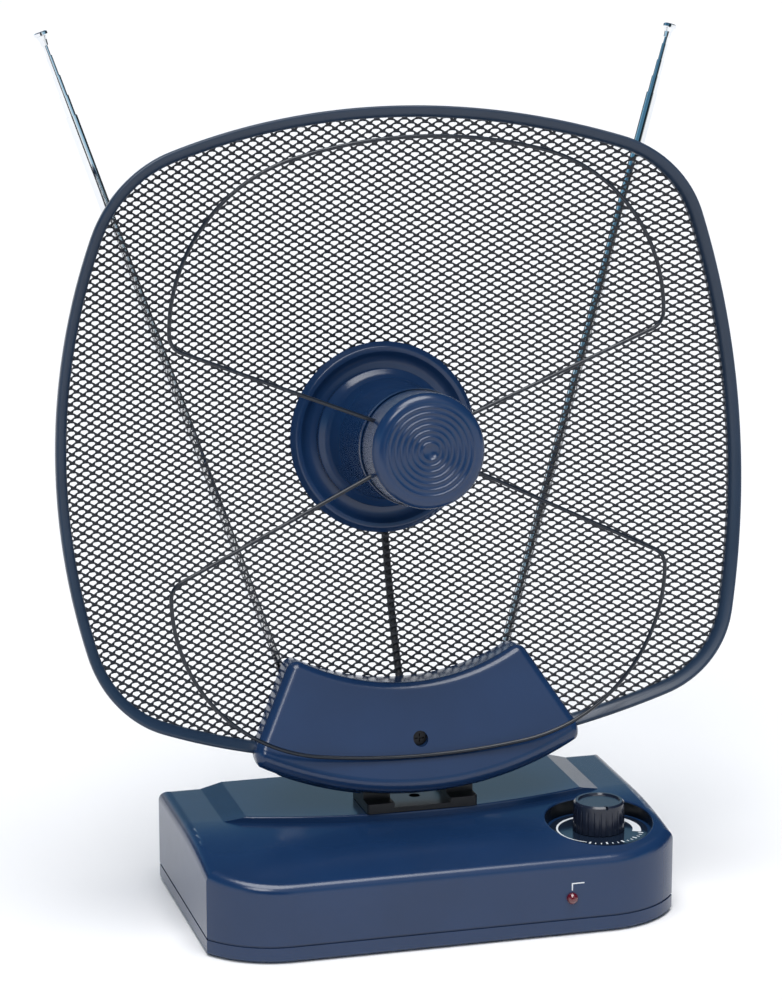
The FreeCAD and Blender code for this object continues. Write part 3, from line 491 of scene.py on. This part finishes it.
def make_dial_recess_painted_shade(made):
    """Thin black sheet over the round recess's walls, painted shade inside the recess, cut off just under the
    sloping top.
    """
    outer, inner = dial_recess_radius - 0.03, dial_recess_radius - 0.15
    radius, start = top_slope
    count, vertices, faces = 120, [], []
    for k in range(count):
        x, y, _ = dial_point(outer, 360 * k / count)
        run = max(start - y, 0)
        top = base_top - radius + math.sqrt(radius ** 2 - run ** 2) - 0.75
        near_x, near_y, _ = dial_point(inner, 360 * k / count)
        low = dial_floor + 0.02
        vertices += [(x, y, low), (x, y, top), (near_x, near_y, top), (near_x, near_y, low)]
    for k in range(count):
        here, after = 4 * k, 4 * ((k + 1) % count)
        for side in range(4):
            step = (side + 1) % 4
            faces.append([here + side, after + side, after + step, here + step])
    # The black sheet on the recess walls is painted shade.
    add_piece("dial_recess_painted_shade", vertices, faces, "base", "scale_print", made["black_plastic"], sharp=50)


def make_dial_marks(made):
    """A tapering band round the back of the knob, and short marks along the front."""
    start, end = dial_band_turn
    thin, wide = dial_band_width
    inner, outer = [], []
    for k in range(61):
        share = k / 60
        degrees = start + (end - start) * share
        width = thin + (wide - thin) * share ** 1.8
        inner.append(dial_point(dial_band_radius - width, degrees))
        outer.append(dial_point(dial_band_radius, degrees))
    vertices = inner + outer + [(x, y, z + print_thickness) for x, y, z in inner + outer]
    count, faces = len(inner), []
    for k in range(count - 1):
        faces.append([k, k + count, k + count + 1, k + 1])
        faces.append([2 * count + k, 2 * count + k + 1, 3 * count + k + 1, 3 * count + k])
        faces.append([k, k + 1, 2 * count + k + 1, 2 * count + k])
        faces.append([count + k, 3 * count + k, 3 * count + k + 1, count + k + 1])
    faces += [[0, 2 * count, 3 * count, count], [count - 1, 2 * count - 1, 4 * count - 1, 3 * count - 1]]
    add_piece("dial_band", vertices, faces, "base", "scale_print", made["white_ink"])
    for index in range(dial_mark_count):
        degrees = dial_mark_start + dial_mark_step * index
        long = index % 3 == 0
        low, high = (17.4 if long else 18.2), dial_mark_outer
        half = 1.2 if long else 0.7
        corners = [dial_point(low, degrees - half), dial_point(low, degrees + half),
                   dial_point(high, degrees + half), dial_point(high, degrees - half)]
        add_piece("dial_mark_%02d" % index, *prism(corners, (0, 0, print_thickness)), "base", "scale_print",
                  made["white_ink"])


# ---------------------------------------------------------------- camera, floor and light

def make_camera():
    """Long lens a little above the object and to its left."""
    azimuth, elevation, distance = math.radians(-15.41), math.radians(13.67), 1.4345
    sideways, height = -0.01174, 0.17962
    aim = Vector((sideways * math.cos(azimuth), sideways * math.sin(azimuth), height))
    back = Vector((math.sin(azimuth) * math.cos(elevation), -math.cos(azimuth) * math.cos(elevation),
                   math.sin(elevation)))
    data = bpy.data.cameras.new("camera")
    data.lens = 122.2
    data.sensor_width = 36.0
    data.clip_end = 100.0
    camera = bpy.data.objects.new("camera", data)
    bpy.context.scene.collection.objects.link(camera)
    camera.location = aim + back * distance
    camera.rotation_euler = (-back).to_track_quat("-Z", "Y").to_euler()
    bpy.context.scene.camera = camera


def make_floor():
    mesh = bpy.data.meshes.new("floor")
    size = 60.0
    corners = [(-size, -size, 0), (size, -size, 0), (size, size, 0), (-size, size, 0)]
    mesh.from_pydata(corners, [], [(0, 1, 2, 3)])
    floor = bpy.data.objects.new("floor", mesh)
    bpy.context.scene.collection.objects.link(floor)
    paint(floor, shader("floor", (0.95, 0.93, 0.92), 0.7)[0])


def add_sun(name, azimuth, elevation, strength, angle, colour=(1, 1, 1)):
    """A wide soft light far away; azimuth 0 shines from the front and 90 from the right."""
    a, e = math.radians(azimuth), math.radians(elevation)
    toward = Vector((math.sin(a) * math.cos(e), -math.cos(a) * math.cos(e), math.sin(e)))
    data = bpy.data.lights.new(name, "SUN")
    data.energy = strength
    data.angle = math.radians(angle)
    data.color = colour
    lamp = bpy.data.objects.new(name, data)
    bpy.context.scene.collection.objects.link(lamp)
    lamp.rotation_euler = toward.to_track_quat("Z", "Y").to_euler()


def sky_band(tree):
    """Light from the sky by height: bright low down, dim in the middle and bright again overhead."""
    direction = tree.nodes.new("ShaderNodeTexCoord").outputs["Generated"]
    split = tree.nodes.new("ShaderNodeSeparateXYZ")
    tree.links.new(direction, split.inputs["Vector"])
    ramp = tree.nodes.new("ShaderNodeValToRGB").color_ramp
    ramp.elements[0].color = (1.0, 1.0, 1.0, 1)
    ramp.elements[1].color = (0.30, 0.36, 0.44, 1)
    for place, colour in ((0.16, (0.92, 0.95, 0.98)), (0.26, (0.40, 0.62, 0.78)), (0.36, (0.11, 0.30, 0.46)),
                          (0.46, (0.03, 0.07, 0.13)), (0.80, (0.04, 0.07, 0.12))):
        ramp.elements.new(place).color = (*colour, 1)
    node = [n for n in tree.nodes if n.bl_idname == "ShaderNodeValToRGB"][-1]
    tree.links.new(split.outputs["Z"], node.inputs["Fac"])
    return direction, node.outputs["Color"]


def card(tree, direction, toward, limits, levels):
    """A soft round card in the sky: limits are cosines from its middle, levels go from rim to middle."""
    dot = tree.nodes.new("ShaderNodeVectorMath")
    dot.operation = "DOT_PRODUCT"
    dot.inputs[1].default_value = toward
    tree.links.new(direction, dot.inputs[0])
    spread = tree.nodes.new("ShaderNodeMapRange")
    spread.inputs["From Min"].default_value, spread.inputs["From Max"].default_value = limits
    spread.inputs["To Min"].default_value, spread.inputs["To Max"].default_value = levels
    tree.links.new(dot.outputs["Value"], spread.inputs["Value"])
    return spread.outputs["Result"]


def dark_card(tree, direction, azimuth, outside, inside):
    """Share of the light left round one dark card, a little above the horizon."""
    angle = math.radians(azimuth)
    return card(tree, direction, (math.sin(angle), -math.cos(angle), 0.08), (outside, inside), (1.0, 0.03))


def make_light():
    """Two soft suns and a sky with dark cards for the gloss, and one light card for the shoe's face."""
    shoe_card = (0.258, -0.666, 0.700)
    add_sun("key", -25, 45, 0.9, 22)
    add_sun("top", -10, 78, 2.5, 40)
    world = bpy.data.worlds.new("world")
    world.use_nodes = True
    tree = world.node_tree
    direction, colour = sky_band(tree)
    strength = dark_card(tree, direction, -15, 0.86, 0.95)
    for azimuth, outside, inside in ((112, 0.72, 0.86), (-140, 0.93, 0.975)):
        both = tree.nodes.new("ShaderNodeMath")
        both.operation = "MULTIPLY"
        tree.links.new(strength, both.inputs[0])
        tree.links.new(dark_card(tree, direction, azimuth, outside, inside), both.inputs[1])
        strength = both.outputs["Value"]
    background = tree.nodes["Background"]
    tree.links.new(colour, background.inputs["Color"])
    tree.links.new(strength, background.inputs["Strength"])
    both = tree.nodes.new("ShaderNodeAddShader")
    tree.links.new(background.outputs["Background"], both.inputs[0])
    glow = tree.nodes.new("ShaderNodeBackground")
    level = card(tree, direction, shoe_card, (0.90, 0.97), (0.0, 0.75))
    tree.links.new(level, glow.inputs["Strength"])
    tree.links.new(glow.outputs["Background"], both.inputs[1])
    tree.links.new(both.outputs["Shader"], tree.nodes["World Output"].inputs["Surface"])
    bpy.context.scene.world = world
    bpy.context.scene.view_settings.view_transform = "Standard"


made = make_materials()
paint_cad_nodes(made)
make_expanded_metal(made)
make_edging(made)
make_boss(made)
make_lamp_mark(made)
make_dial_recess_painted_shade(made)
make_dial_marks(made)
make_camera()
make_floor()
make_light()
